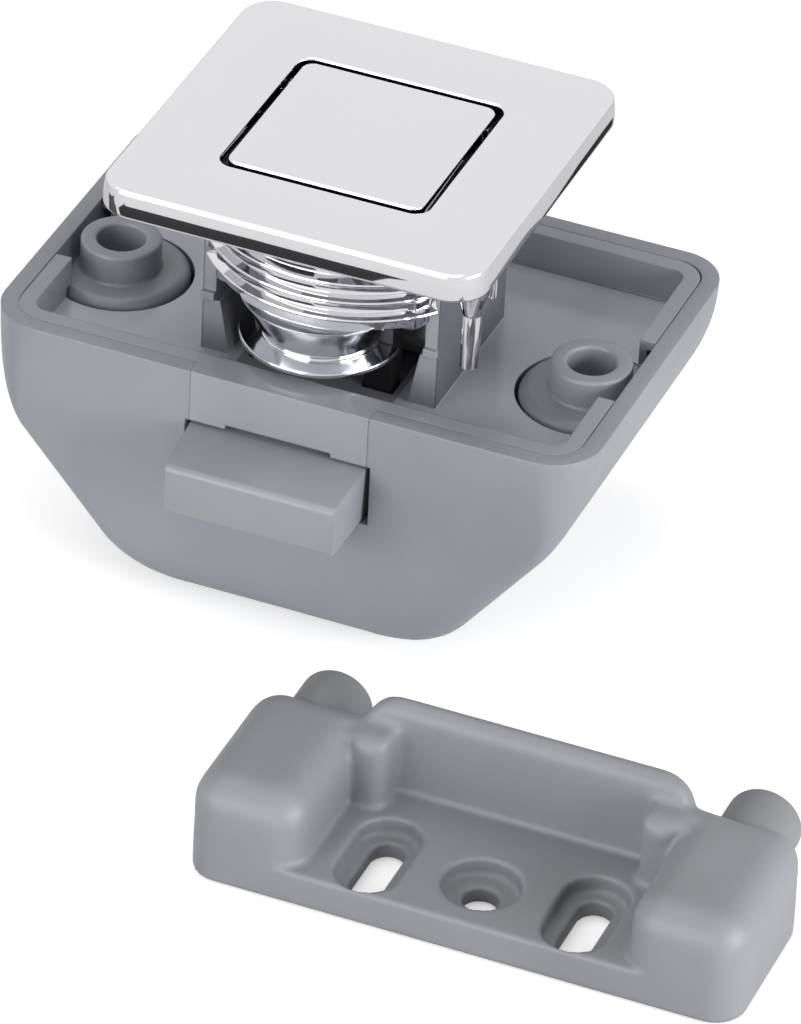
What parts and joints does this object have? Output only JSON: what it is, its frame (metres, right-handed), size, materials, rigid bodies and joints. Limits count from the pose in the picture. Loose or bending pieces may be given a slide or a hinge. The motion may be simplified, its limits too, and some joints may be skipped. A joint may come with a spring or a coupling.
{
  "type": "push button cabinet lock",
  "caption": "Push button cabinet lock: square rosette with a flush square button, D-shaped housing with a sliding bolt, and a keeper with two buffers.",
  "frame": {"origin": "on the housing's rim plane, half way between the two door screw holes, which is also the middle of the button", "axes": "+Z out of the door towards the rosette and along the button's travel, +Y away from the bolt's nose, +X to the right when the bolt points at the viewer"},
  "size_m": [0.1027, 0.0874, 0.051],
  "materials": {
    "case_plastic": "moulded grey plastic, satin",
    "tray_plastic": "moulded grey plastic, glossy",
    "keeper_plastic": "moulded grey plastic, fine matte texture",
    "buffer_rubber": "firm grey rubber, matte",
    "chrome": "bright chrome plating",
    "black_plastic": "black acetal",
    "steel": "bright zinc-plated steel"
  },
  "bodies": {
    "lock_case": {"housing": "case_plastic", "inner_tray": "tray_plastic", "bolt_channel": "black_plastic", "channel_screws": "steel", "case_screws": "steel", "rosette": "chrome", "plunger_spring": "steel", "latch_wire": "steel", "leaf_spring": "steel", "leaf_screw": "steel", "bolt_spring_left": "steel", "bolt_spring_right": "steel", "strike_plate": "keeper_plastic", "buffer_left": "buffer_rubber", "buffer_right": "buffer_rubber"},
    "button": {"button_cap": "chrome", "plunger": "black_plastic", "button_screw": "steel"},
    "bolt": {"latch_bolt": "case_plastic", "drive_pin": "steel"}
  },
  "joints": [
    {"name": "button_slide", "type": "slide", "parent": "lock_case", "child": "button", "axis": [0, 0, 1], "range_m": [0, 0.009], "deforming": ["plunger_spring", "latch_wire"]},
    {"name": "bolt_slide", "type": "slide", "parent": "lock_case", "child": "bolt", "axis": [0, 1, 0], "range_m": [0, 0.008], "deforming": ["bolt_spring_left", "bolt_spring_right"]}
  ],
  "couplings": [
    {"joint": "bolt_slide", "follows": "button_slide", "ratio": 0.88889}
  ]
}
